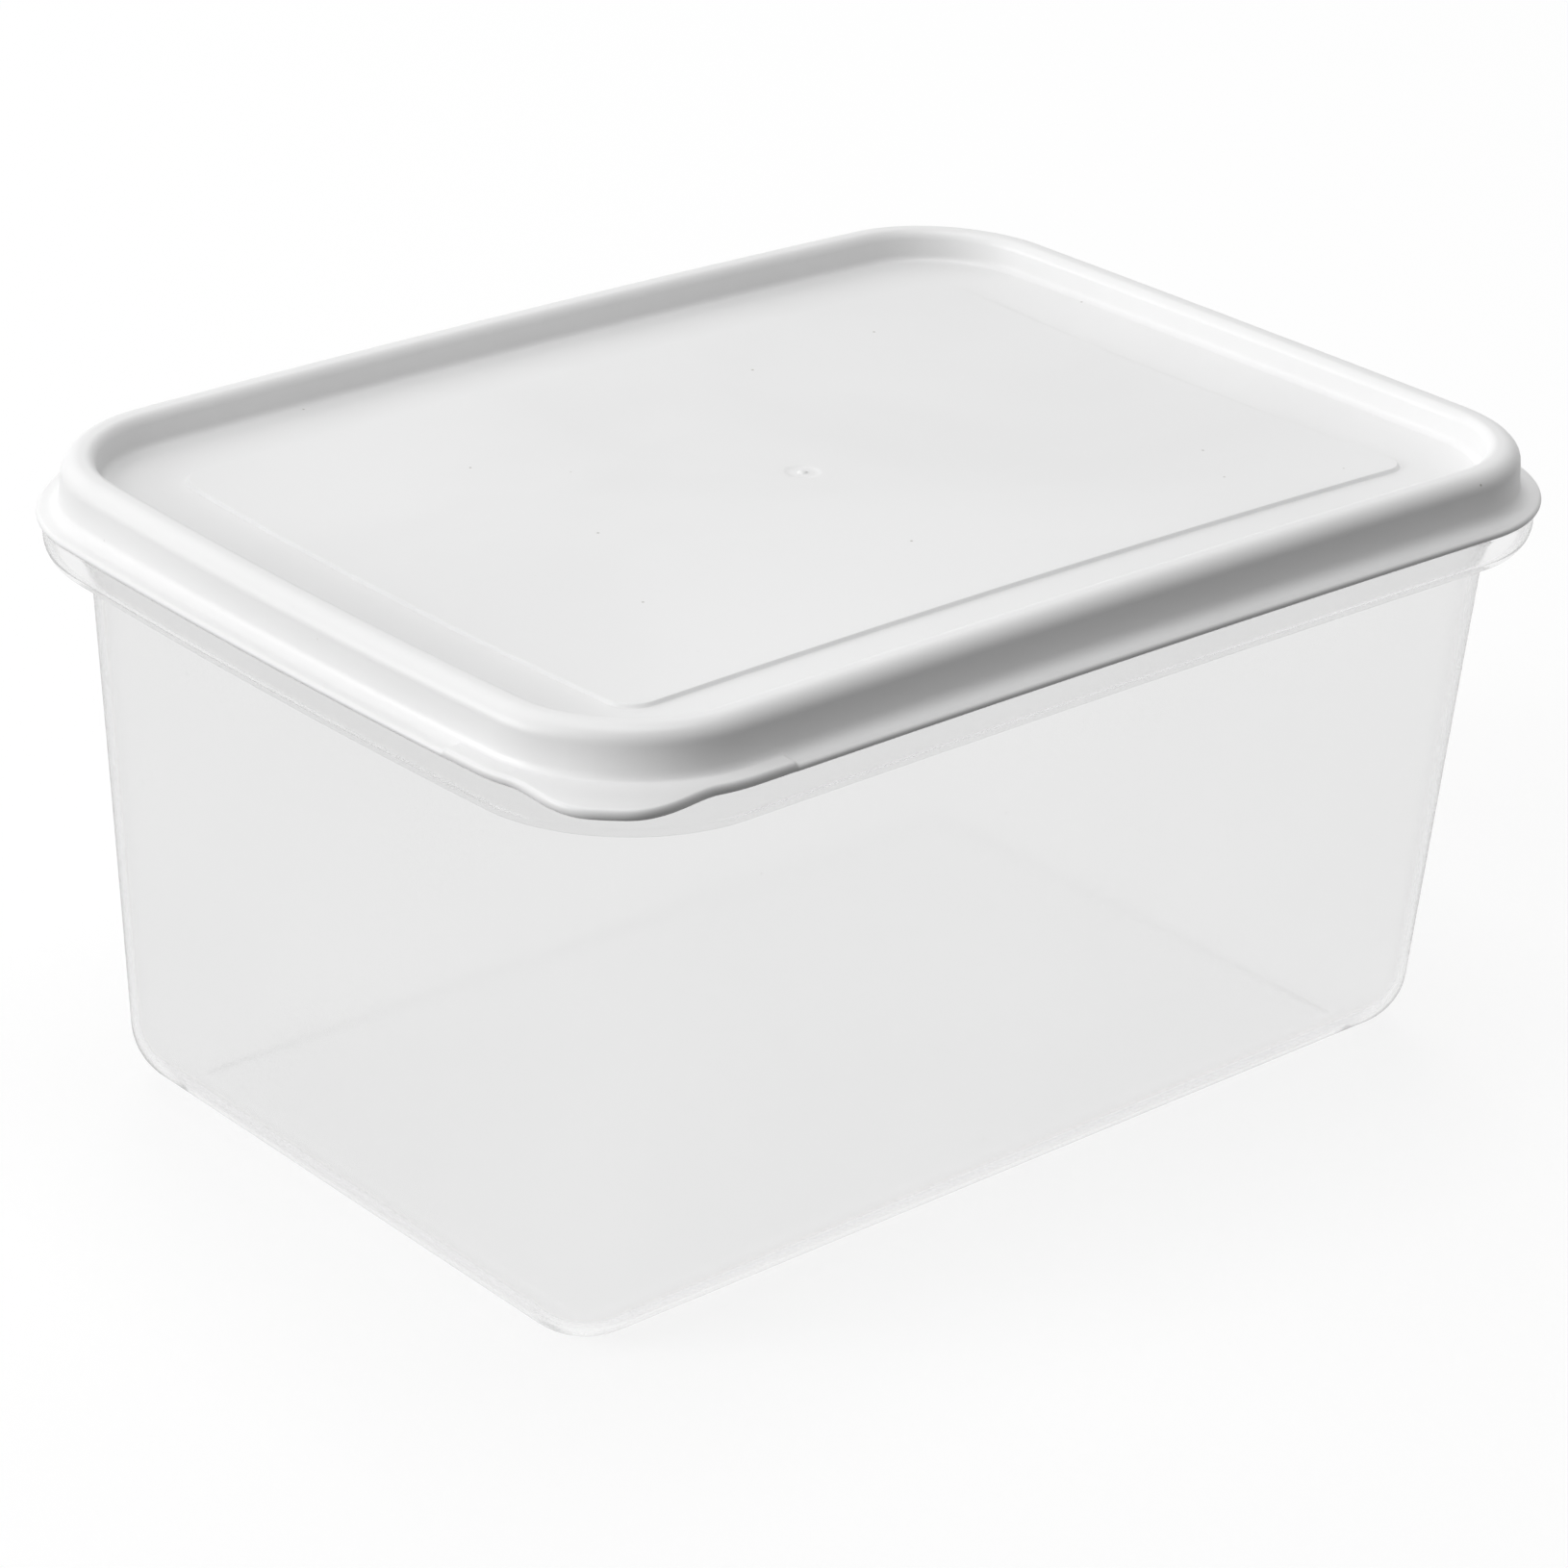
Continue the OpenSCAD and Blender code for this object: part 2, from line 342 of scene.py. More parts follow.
@dataclass(frozen=True)
class GateMark:
    """The round mark where the plastic entered the mould: a shallow dish with a nub in it.

    Args:
        dish_r: Radius of the dish.
        dish_depth: Depth of the dish.
        nub_r: Radius of the nub.
        nub_h: Height of the nub over the dish's bottom.
        dish_line: The dish's edge, as (distance outside its radius, share of its depth), inwards.
        nub_line: The nub's edge, as (distance outside its radius, share of its height).
    """

    dish_r: float = 3.4
    dish_depth: float = 0.16
    nub_r: float = 0.85
    nub_h: float = 0.34
    dish_line: tuple[Point, ...] = ((2.4, 0.0), (0.9, 0.0), (0.35, 0.12), (0.0, 0.5), (-0.35, 0.88),
                                    (-0.9, 1.0))
    nub_line: tuple[Point, ...] = ((0.45, 0.0), (0.12, 0.12), (0.0, 0.5), (-0.15, 0.9), (-0.4, 1.0))

    def section(self, cap: Cap, marked: Cap) -> list[Point]:
        """Lists the rings of a face's middle.

        Args:
            cap: The face.
            marked: The face that has the mark. The other one stays flat.

        Returns:
            The rings as (radius, depth below the face), from outside to inside.
        """
        if cap is not marked:
            return [(self.dish_r, 0.0), (self.nub_r, 0.0)]
        bottom, top = self.dish_depth, self.depth_at_middle()
        dish = [(self.dish_r + beside, bottom * share) for beside, share in self.dish_line]
        return dish + [(self.nub_r + beside, mix(bottom, top, share)) for beside, share in self.nub_line]

    def depth_at_middle(self) -> float:
        """Returns the depth of the nub's top below the face."""
        return self.dish_depth - self.nub_h


@dataclass
class Moulding:
    """What the tub and the lid share: the outline, the place in the frame and the seats between them.

    Args:
        outline: The outline that both follow.
        ledge_z: Height of the ledge that carries the lid.
        seat_gap: Gap between the lid's flange and the ledge.
        side_gap: Gap at the sides between the upstand and the lid's channel.
        top_gap: Gap at the top between the upstand and the lid's channel.
        centre: The tub's middle in the frame, along X and Y.
    """

    outline: Outline = field(default_factory=Outline)
    ledge_z: float = 126.3
    seat_gap: float = 0.3
    side_gap: float = 0.45
    top_gap: float = 0.5
    centre: Point = (0.0, 0.0)

    def __post_init__(self) -> None:
        """Lists the outline's spots once, because every ring uses them."""
        self.spots = self.outline.spots()

    def flange_z(self) -> float:
        """Returns the height of the underside of the lid's flange."""
        return self.ledge_z + self.seat_gap

    def ring(self, length: float, width: float, corner: float, z: float, setting: float = 1.0,
             bow: float = 1.0, drop: Optional[float] = None,
             out: Optional[Callable[[Spot], float]] = None,
             top: Optional[Callable[[Spot, float], float]] = None) -> Ring:
        """Returns the places of one ring.

        Args:
            length: Length of the rounded rectangle.
            width: Width of the rounded rectangle.
            corner: Its corner radius.
            z: Height of the ring before the plastic set.
            setting: Share of the arch and sag that the ring has.
            bow: Share of the sides' swell that it has.
            drop: Drop of the short sides' middles, or None for the outline's own.
            out: How far each spot reaches out of the outline.
            top: The height of each spot, given the ring's.

        Returns:
            The places, in the outline's order.
        """
        outline = self.outline
        fall = outline.sag if drop is None else drop
        places: Ring = []
        for spot in self.spots:
            flat = outline.at(spot, length, width, corner)
            u, v = 2 * flat.x / length, 2 * flat.y / width
            facing = Vector((math.cos(spot.way), math.sin(spot.way)))
            flat = flat + outline.swell(u, v) * bow + facing * (out(spot) if out else 0.0)
            height = top(spot, z) if top else z
            places.append(self.placed(flat, height + setting * outline.lift(u, v, fall)))
        return places

    def placed(self, flat: Vector, z: float) -> Vector:
        """Returns the place over a point of the plan, in the frame."""
        return Vector((flat.x + self.centre[0], flat.y + self.centre[1], z))

    def over_middle(self, z: float) -> Vector:
        """Returns the place over the plan's middle, in the frame."""
        return self.placed(Vector((0.0, 0.0)), z)

    def inset(self, inset: float, z: float, **options: Callable) -> Ring:
        """Works out a ring inside the lid's edge.

        Args:
            inset: How far in from the lid's edge it lies.
            z: Its height before the plastic set.
            **options: What else ring() takes.

        Returns:
            The ring's places.
        """
        outline = self.outline
        return self.ring(outline.length - 2 * inset, outline.width - 2 * inset,
                         max(outline.corner - inset, outline.least_corner), z, **options)

    def inward(self, length: float, width: float, corner: float, end: float, steps: int) -> list[Ring]:
        """Shrinks a rounded rectangle to a circle.

        Args:
            length: Length of the rounded rectangle.
            width: Width of the rounded rectangle.
            corner: Its corner radius.
            end: Radius of the circle.
            steps: How many rings there are, with the circle.

        Returns:
            The rings as points of the plan, from outside to inside.
        """
        outer = [self.outline.at(spot, length, width, corner) for spot in self.spots]
        near = [point.normalized() * end for point in outer]
        shares = [1 - (1 - k / steps) ** CROWDING for k in range(1, steps + 1)]
        return [[a.lerp(b, share) for a, b in zip(outer, near)] for share in shares]


@dataclass
class Lid(Moulding):
    """The lid: an edge flange with a pull tab, a hollow bead, a sunk floor and a raised panel.

    Args:
        thick: Thickness of the panel and the bead.
        flange_t: Thickness of the edge flange.
        flange_flat: Flat width of the flange outside the bead.
        foot_r: Hollow radius where the bead meets the flange.
        bead_h: Height of the bead over the flange's underside.
        bead_r: Outer radius along the bead's top.
        bead_flat: Flat width along the bead's top.
        bead_in_r: Inner radius along the bead's top.
        draft: How far the bead's walls lean in.
        floor_drop: Depth of the floor below the bead's top.
        floor_r: Radius between the floor and the bead.
        margin: Width of the floor around the panel.
        panel_rise: Rise of the panel over the floor.
        panel_r: Corner radius of the panel.
        panel_sag: Drop of the panel's short sides.
        tab_out: Reach of the pull tab.
        tab_start: Share of the corner's arc left plain at each end of the tab.
        tab_ease: Share of the arc over which each end of the tab swells.
        pad_h: Height of the thumb pad over the flange.
        pad_run: How far the pad runs along each side past the arc.
        pad_edge: Length over which each end of the pad slopes away.
        edge_soft: Radius along the lid's small edges.
        face_in: How far inside the panel's edge the rings of its top start.
        face_steps: Rings from the panel's edge to the gate mark.
        lip_steps: Pieces in the flange's round edge.
        gate: The gate mark in the panel's middle.
    """

    thick: float = 1.4
    flange_t: float = 1.6
    flange_flat: float = 2.1
    foot_r: float = 2.3
    bead_h: float = 12.2
    bead_r: float = 3.6
    bead_flat: float = 1.3
    bead_in_r: float = 2.2
    draft: float = 0.6
    floor_drop: float = 6.7
    floor_r: float = 1.5
    margin: float = 15.8
    panel_rise: float = 0.8
    panel_r: float = 6.0
    panel_sag: float = 1.6
    tab_out: float = 7.5
    tab_start: float = 0.15
    tab_ease: float = 0.3
    pad_h: float = 0.7
    pad_run: float = 8.0
    pad_edge: float = 1.0
    edge_soft: float = 0.22
    face_in: float = 1.0
    face_steps: int = 22
    lip_steps: int = 12
    gate: GateMark = field(default_factory=GateMark)

    def __post_init__(self) -> None:
        """Works out the insets of the bead's section, from the edge inwards."""
        super().__post_init__()
        self.face = self.flange_flat + self.foot_r
        self.shoulder = self.face + self.draft
        self.inner_face = self.shoulder + self.bead_r + self.bead_flat + self.bead_in_r
        self.foot = self.inner_face + self.draft
        self.panel_in = self.foot + self.floor_r + self.margin
        self.floor_h = self.bead_h - self.floor_drop
        self.slope = self.panel_rise / 2

    def tab(self, spot: Spot) -> float:
        """Shapes the pull tab.

        Args:
            spot: A spot on the lid's edge.

        Returns:
            How far the tab reaches out of the edge there.
        """
        if spot.corner is not Corner.NEAR_LEFT or spot.run is not None:
            return 0.0
        rise = smooth((spot.share - self.tab_start) / self.tab_ease)
        return self.tab_out * rise * smooth((1 - self.tab_start - spot.share) / self.tab_ease)

    def pad(self, spot: Spot) -> float:
        """Shapes the thumb pad.

        Args:
            spot: A spot on the lid's edge.

        Returns:
            How much of the pad's height the flange has there, from 0 to 1.
        """
        outline = self.outline
        if spot.corner is Corner.NEAR_LEFT:
            run = 0.0 if spot.run is None else spot.run * (outline.length - 2 * outline.corner)
        elif spot.corner is Corner.FAR_LEFT and spot.run is not None:
            run = (1 - spot.run) * (outline.width - 2 * outline.corner)
        else:
            return 0.0
        return smooth(1 - (run - self.pad_run) / self.pad_edge)

    def raised(self, spot: Spot, z: float) -> float:
        """Returns the height of a spot of the flange's top, which the thumb pad lifts."""
        pad_z = self.flange_z() + self.flange_t + self.pad_h
        return mix(z, max(z, pad_z), self.pad(spot))

    def lifted(self, spot: Spot, z: float, share: float) -> float:
        """Returns the height of a spot of the flange's edge, that share of the way up its round."""
        return z + self.pad_h * self.pad(spot) * smooth(share)

    def panel(self, inset: float, z: float) -> Ring:
        """Returns a ring of the panel's edge, which keeps straight sides."""
        outline = self.outline
        return self.ring(outline.length - 2 * inset, outline.width - 2 * inset, self.panel_r, z,
                         bow=0.0, drop=self.panel_sag)

    def face_rings(self, inset: float, z: float, cap: Cap) -> list[Ring]:
        """Works out a face of the panel.

        Args:
            inset: How far in from the lid's edge the face starts.
            z: Its height before the plastic set.
            cap: Which face it is.

        Returns:
            The face's rings, from its edge to its middle.
        """
        outline = self.outline
        length, width = outline.length - 2 * inset, outline.width - 2 * inset
        section = self.gate.section(cap, Cap.TOP)
        rings: list[Ring] = []
        for plan in self.inward(length, width, self.panel_r, section[0][0], self.face_steps):
            rings.append([self.placed(p, z + self.dish(p, length, width)) for p in plan])
        ways = [outline.at(spot, length, width, self.panel_r).normalized() for spot in self.spots]
        for radius, depth in section[1:]:
            plan = [way * radius for way in ways]
            rings.append([self.placed(p, z - depth + self.dish(p, length, width)) for p in plan])
        return rings

    def dish(self, point: Vector, length: float, width: float) -> float:
        """Returns how far the set of the plastic lifts a point of the panel."""
        return self.outline.lift(2 * point.x / length, 2 * point.y / width, self.panel_sag)

    def build(self) -> bpy.types.Object:
        """Draws the lid from the underside of its panel, out round the flange and in to the panel's top.

        Returns:
            The lid.
        """
        z0 = self.flange_z()
        top, floor = z0 + self.bead_h, z0 + self.floor_h
        under, panel_z = floor - self.thick, floor + self.panel_rise
        soft = self.edge_soft
        below = self.face_rings(self.panel_in + self.slope, under + self.panel_rise, Cap.UNDERSIDE)
        middle_z = self.dish(Vector((0.0, 0.0)), 1.0, 1.0)
        skin = Skin(below[-1], self.over_middle(under + self.panel_rise + middle_z))
        for places in below[-2::-1]:
            skin.draw(places)
        skin.draw(self.panel(self.panel_in + self.slope, under + self.panel_rise))
        skin.draw(self.panel(self.panel_in, under))
        channel = Path(((self.panel_in - LEAD, under, 0),
                        (self.inner_face + self.draft - self.thick, under, soft),
                        (self.inner_face - self.thick, top - self.bead_in_r, 0),
                        (self.inner_face - self.thick, top - self.thick, self.bead_in_r - self.thick),
                        (self.shoulder + self.thick, top - self.thick, self.bead_r - self.thick),
                        (self.shoulder + self.thick, top - self.bead_r, 0),
                        (self.face + self.thick, z0, soft), (self.flange_t / 2, z0, 0)))
        for inset, z in channel.rounded():
            skin.draw(self.inset(inset, z))
        self.lip(skin, z0)
        over = Path(((self.flange_t / 2, z0 + self.flange_t, 0), (self.face, z0 + self.flange_t, self.foot_r),
                     (self.shoulder, top - self.bead_r, 0), (self.shoulder, top, self.bead_r),
                     (self.inner_face, top, self.bead_in_r), (self.inner_face, top - self.bead_in_r, 0),
                     (self.foot, floor, self.floor_r), (self.foot + LEAD, floor, 0)))
        for inset, z in over.rounded():
            skin.draw(self.inset(inset, z, top=self.raised))
        step = Path(((self.panel_in - LEAD, floor, 0), (self.panel_in - self.slope, floor, soft),
                     (self.panel_in, panel_z, soft), (self.panel_in + LEAD, panel_z, 0)), steps=4, hold=0.2)
        for inset, z in step.rounded():
            skin.draw(self.panel(inset, z))
        for places in self.face_rings(self.panel_in + self.face_in, panel_z, Cap.TOP):
            skin.draw(places)
        middle = panel_z + middle_z - self.gate.depth_at_middle()
        return skin.close(self.over_middle(middle), "lid_moulding")

    def lip(self, skin: Skin, z0: float) -> None:
        """Draws the flange's round edge, with the pull tab and the thumb pad.

        Args:
            skin: The skin that ends under the flange.
            z0: Height of the flange's underside.
        """
        radius = self.flange_t / 2
        for k in range(self.lip_steps + 1):
            share = k / self.lip_steps
            turn = math.pi * (1.5 - share)
            height = z0 + radius + radius * math.sin(turn)
            inset = radius + radius * math.cos(turn)
            skin.draw(self.inset(inset, height, out=self.tab,
                                 top=lambda spot, z, share=share: self.lifted(spot, z, share)))


@dataclass
class Tub(Moulding):
    """The tub: a floor on a foot ring, leaning walls and a curled rim with an upstand for the lid.

    Args:
        wall: Thickness of the wall.
        floor_t: Thickness of the floor.
        base_l: Length at the base.
        base_w: Width at the base.
        base_r: Corner radius at the base.
        fillet: Radius between the walls and the underside.
        foot_w: Width of the foot ring.
        foot_r: Corner radius of the foot ring.
        foot_h: Depth of the hollow in the underside.
        skirt_in: Inset of the skirt's face.
        skirt_t: Thickness of the skirt and the ledge.
        skirt_drop: Straight part of the skirt.
        curl_r: Radius to which the skirt curls in.
        curl: How far it curls to the middle of its round tip, in degrees.
        step_in: Step from the upstand to the wall below.
        ledge_edge: Radius on the ledge's outer edge.
        snap_out: How far the bead on the upstand stands out.
        snap_drop: Height of that bead below the upstand's top.
        snap_h: Height of each half of that bead.
        upstand_r: Radius along the upstand's inner edge.
        crown_r: Radius along the upstand's outer edge.
        crown_hold: Height below that edge where the upstand is straight.
        snap_hold: Height below the bead where the upstand is straight.
        root: Bevel where the upstand meets the ledge and the wall.
        under_bevel: Bevel under the ledge, where it meets the skirt.
        foot_soft: Radius along the foot ring's inner edges.
        channel_out: Inset of the lid channel's outer face.
        channel_top: Height of the channel over the flange's underside.
        under_in: How far inside the foot ring the rings of the underside start.
        floor_in: How far inside the fillet the rings of the floor start.
        wall_hold: Height under the ledge where the wall's even rings end.
        fillet_hold: Height over the outer fillet where the wall's inner rings end.
        wall_steps: Rings up each face of the wall.
        face_steps: Rings from the floor's edge to the gate mark.
        snap_steps: Pieces in each half of the bead on the upstand.
        gate: The gate mark in the underside's middle.
    """

    wall: float = 1.6
    floor_t: float = 1.8
    base_l: float = 241.0
    base_w: float = 156.0
    base_r: float = 15.0
    fillet: float = 13.0
    foot_w: float = 2.0
    foot_r: float = 1.5
    foot_h: float = 0.8
    skirt_in: float = 1.2
    skirt_t: float = 1.4
    skirt_drop: float = 3.2
    curl_r: float = 6.0
    curl: float = 45.0
    step_in: float = 2.4
    ledge_edge: float = 0.5
    snap_out: float = 0.7
    snap_drop: float = 2.0
    snap_h: float = 1.2
    upstand_r: float = 0.8
    crown_r: float = 0.4
    crown_hold: float = 0.1
    snap_hold: float = 0.2
    root: float = 0.4
    under_bevel: float = 0.5
    foot_soft: float = 0.15
    channel_out: float = 6.4
    channel_top: float = 10.8
    under_in: float = 0.25
    floor_in: float = 0.5
    wall_hold: float = 0.4
    fillet_hold: float = 1.0
    wall_steps: int = 16
    face_steps: int = 10
    snap_steps: int = 8
    gate: GateMark = field(default_factory=lambda: GateMark(dish_r=2.6, dish_depth=0.12, nub_h=0.24))

    def __post_init__(self) -> None:
        """Works out the upstand's place in the lid's channel, and the wall's top."""
        super().__post_init__()
        self.up_out = self.channel_out + self.side_gap + self.snap_out
        self.up_in = self.up_out + self.wall
        self.up_z = self.flange_z() + self.channel_top - self.top_gap
        self.wall_in = self.up_out + self.step_in
        self.wall_z = self.ledge_z - self.skirt_t

    def wall_ring(self, z: float, inset: float = 0.0) -> Ring:
        """Works out a ring of the wall.

        Args:
            z: Its height before the plastic set.
            inset: How far inside the wall's outer face it lies.

        Returns:
            The ring's places.
        """
        share = z / self.wall_z
        outline = self.outline
        length = mix(self.base_l, outline.length - 2 * self.wall_in, share) - 2 * inset
        width = mix(self.base_w, outline.width - 2 * self.wall_in, share) - 2 * inset
        corner = max(mix(self.base_r, outline.corner - self.wall_in, share) - inset, self.foot_r)
        return self.ring(length, width, corner, z, setting=share * share, bow=share * share)

    def turn(self, centre: Point, radius: float, start: float, end: float, steps: int) -> list[Point]:
        """Draws an arc across the wall.

        Args:
            centre: Its centre, as (inset, height).
            radius: Its radius.
            start: The angle in degrees at which it starts.
            end: The angle in degrees at which it ends.
            steps: Pieces in it.

        Returns:
            The arc as (inset, height) points.
        """
        angles = [math.radians(mix(start, end, k / steps)) for k in range(steps + 1)]
        return [(centre[0] + radius * math.cos(a), centre[1] + radius * math.sin(a)) for a in angles]

    def build(self) -> bpy.types.Object:
        """Draws the tub from the middle of its underside, up its walls, over the rim and down to its floor.

        Returns:
            The tub.
        """
        inner = self.fillet + self.foot_w
        under = self.base_rings(inner + self.under_in, self.foot_h, Cap.UNDERSIDE)
        skin = Skin(under[-1], self.over_middle(self.foot_h + self.gate.depth_at_middle()))
        for places in under[-2::-1]:
            skin.draw(places)
        foot = Path(((inner + LEAD, self.foot_h, 0), (inner, self.foot_h, self.foot_soft),
                     (inner, 0, self.foot_soft), (inner - LEAD, 0, 0)), steps=3, hold=0.05)
        for inset, z in foot.rounded():
            skin.draw(self.base_ring(inset, z))
        for inset, z in self.turn((self.fillet, self.fillet), self.fillet, 270, 180, steps=18):
            skin.draw(self.wall_ring(z, inset))
        wall_end = self.wall_z - self.wall_hold
        for k in range(1, self.wall_steps + 1):
            skin.draw(self.wall_ring(mix(self.fillet, wall_end, k / self.wall_steps)))
        self.skirt(skin)
        self.upstand(skin)
        inner_end = self.fillet + self.fillet_hold
        for k in range(self.wall_steps + 1):
            skin.draw(self.wall_ring(mix(wall_end, inner_end, k / self.wall_steps), self.wall))
        floor_z = self.foot_h + self.floor_t
        inside_r = self.fillet - self.wall
        for inset, z in self.turn((self.fillet, floor_z + inside_r), inside_r, 180, 270, steps=16):
            skin.draw(self.wall_ring(z, inset))
        for places in self.base_rings(self.fillet + self.floor_in, floor_z, Cap.TOP):
            skin.draw(places)
        return skin.close(self.over_middle(floor_z), "tub_moulding")

    def base_ring(self, inset: float, z: float) -> Ring:
        """Returns a flat ring that lies that far inside the base's outline."""
        length, width = self.base_l - 2 * inset, self.base_w - 2 * inset
        return self.ring(length, width, self.foot_r, z, setting=0.0, bow=0.0)

    def base_rings(self, inset: float, z: float, cap: Cap) -> list[Ring]:
        """Works out a face of the floor.

        Args:
            inset: How far inside the base's outline the face starts.
            z: Its height.
            cap: Which face it is.

        Returns:
            The face's rings, from its edge to its middle.
        """
        section = self.gate.section(cap, Cap.UNDERSIDE)
        length, width = self.base_l - 2 * inset, self.base_w - 2 * inset
        plans = self.inward(length, width, self.foot_r, section[0][0], self.face_steps)
        rings = [[self.placed(p, z) for p in plan] for plan in plans]
        ways = [self.outline.at(spot, length, width, self.foot_r).normalized() for spot in self.spots]
        for radius, depth in section[1:]:
            rings.append([self.placed(way * radius, z + depth) for way in ways])
        return rings

    def skirt(self, skin: Skin) -> None:
        """Draws the ledge's underside, the curled skirt and the ledge's edge.

        Args:
            skin: The skin that ends at the wall's top.
        """
        bevel, tip = self.under_bevel, 180 + self.curl
        face = self.skirt_in + self.skirt_t
        inner = self.curl_r - self.skirt_t
        curl = (self.skirt_in + self.curl_r, self.ledge_z - self.skirt_drop)
        line = [(face + bevel, self.wall_z), (face, self.wall_z - bevel)]
        line += self.turn(curl, inner, 180, tip, steps=9)
        end = self.turn(curl, (self.curl_r + inner) / 2, tip, 180, steps=1)[0]
        line += self.turn(end, self.skirt_t / 2, tip + 180, tip, steps=10)[1:-1]
        line += self.turn(curl, self.curl_r, tip, 180, steps=12)
        edge = (self.skirt_in + self.ledge_edge, self.ledge_z - self.ledge_edge)
        line += self.turn(edge, self.ledge_edge, 180, 90, steps=6)
        for inset, z in line:
            skin.draw(self.inset(inset, z))

    def upstand(self, skin: Skin) -> None:
        """Draws the upstand and the bead on it.

        Args:
            skin: The skin that ends on the ledge.
        """
        ledge, snap_z = self.ledge_z, self.up_z - self.snap_drop
        line = [(self.up_out - self.root, ledge), (self.up_out, ledge + self.root),
                (self.up_out, snap_z - self.snap_h - self.snap_hold)]
        for k in range(self.snap_steps + 1):
            share = k / self.snap_steps
            rise = math.sin(math.pi / 2 * k / self.snap_steps) ** 2
            line.append((self.up_out - self.snap_out * rise, mix(snap_z - self.snap_h, snap_z, share)))
        crown = self.up_out - self.snap_out
        line += [(crown, snap_z + self.snap_h / 2), (crown, self.up_z - self.crown_r - self.crown_hold)]
        line += self.turn((crown + self.crown_r, self.up_z - self.crown_r), self.crown_r, 180, 90, steps=4)
        inside = (self.up_in - self.upstand_r, self.up_z - self.upstand_r)
        line += self.turn(inside, self.upstand_r, 90, 0, steps=6)
        line += [(self.up_in, ledge + self.root), (self.up_in + self.root, ledge)]
        for inset, z in line:
            skin.draw(self.inset(inset, z))


@dataclass
class NodeTree:
    """A short hand for a shader's nodes.

    Args:
        tree: The node tree that is written to.
    """

    tree: bpy.types.NodeTree

    def add(self, kind: str, settings: Optional[dict] = None, **inputs: object) -> bpy.types.Node:
        """Adds a node.

        Args:
            kind: The node's type.
            settings: Values of its own properties.
            **inputs: A value or an output socket for each input, spaces in names written as underscores.

        Returns:
            The node.
        """
        node = self.tree.nodes.new(kind)
        for name, value in (settings or {}).items():
            setattr(node, name, value)
        for name, value in inputs.items():
            socket = self.socket(node, name)
            if isinstance(value, Socket):
                self.tree.links.new(value, socket)
            else:
                socket.default_value = value
        return node

    @staticmethod
    def socket(node: bpy.types.Node, name: str) -> Socket:
        """Finds an input of a node.

        Args:
            node: The node.
            name: The input's name, or i and its number.

        Returns:
            The input.
        """
        if name[0] == "i" and name[1:].isdigit():
            return node.inputs[int(name[1:])]
        return node.inputs[name.replace("_", " ")]

    def math(self, operation: str, *values: object) -> Socket:
        """Adds a Math node on values or sockets and returns its output."""
        inputs = {f"i{k}": value for k, value in enumerate(values)}
        return self.add("ShaderNodeMath", {"operation": operation}, **inputs).outputs[0]

    def span(self, value: object, low: float, high: float, to_low: float, to_high: float) -> Socket:
        """Adds a smooth Map Range node.

        Args:
            value: What it maps.
            low: The value that becomes to_low.
            high: The value that becomes to_high.
            to_low: The result at and below low.
            to_high: The result at and above high.

        Returns:
            The node's output.
        """
        node = self.add("ShaderNodeMapRange", {"interpolation_type": "SMOOTHSTEP"}, Value=value,
                        From_Min=low, From_Max=high, To_Min=to_low, To_Max=to_high)
        return node.outputs["Result"]

    def blend(self, share: object, plain: object, marked: object) -> Socket:
        """Adds a number Mix node from a plain to a marked value and returns its output."""
        node = self.add("ShaderNodeMix", {"data_type": "FLOAT"}, i0=share, i2=plain, i3=marked)
        return node.outputs[0]

    def tint(self, share: object, plain: object, marked: object) -> Socket:
        """Adds a colour Mix node.

        Args:
            share: How much of the marked colour it gives.
            plain: A colour or a socket.
            marked: A colour or a socket.

        Returns:
            The node's output.
        """
        node = self.add("ShaderNodeMix", {"data_type": "RGBA"})
        for name, value in (("Factor_Float", share), ("A_Color", plain), ("B_Color", marked)):
            socket = next(s for s in node.inputs if s.identifier == name)
            if isinstance(value, Socket):
                self.tree.links.new(value, socket)
            else:
                socket.default_value = (*value, 1.0)
        return next(s for s in node.outputs if s.identifier == "Result_Color")


# Noise values between which the haze sets in.
HAZE_BAND = (0.32, 0.68)
# Distances from a speck's middle, in cells, between which it fades, and the share of cells without one.
SPECK_BAND = (0.02, 0.055)
SPECKLESS = 0.82
# Noise values between which a hairline sets in, and how far hairlines bend, stretch and turn.
SCUFF_BAND = (0.60, 0.72)
SCUFF_BEND = 0.02
SCUFF_STRETCH = (1.0, 7.0, 3.0)
SCUFF_TURN = (0.3, 0.2, 0.6)


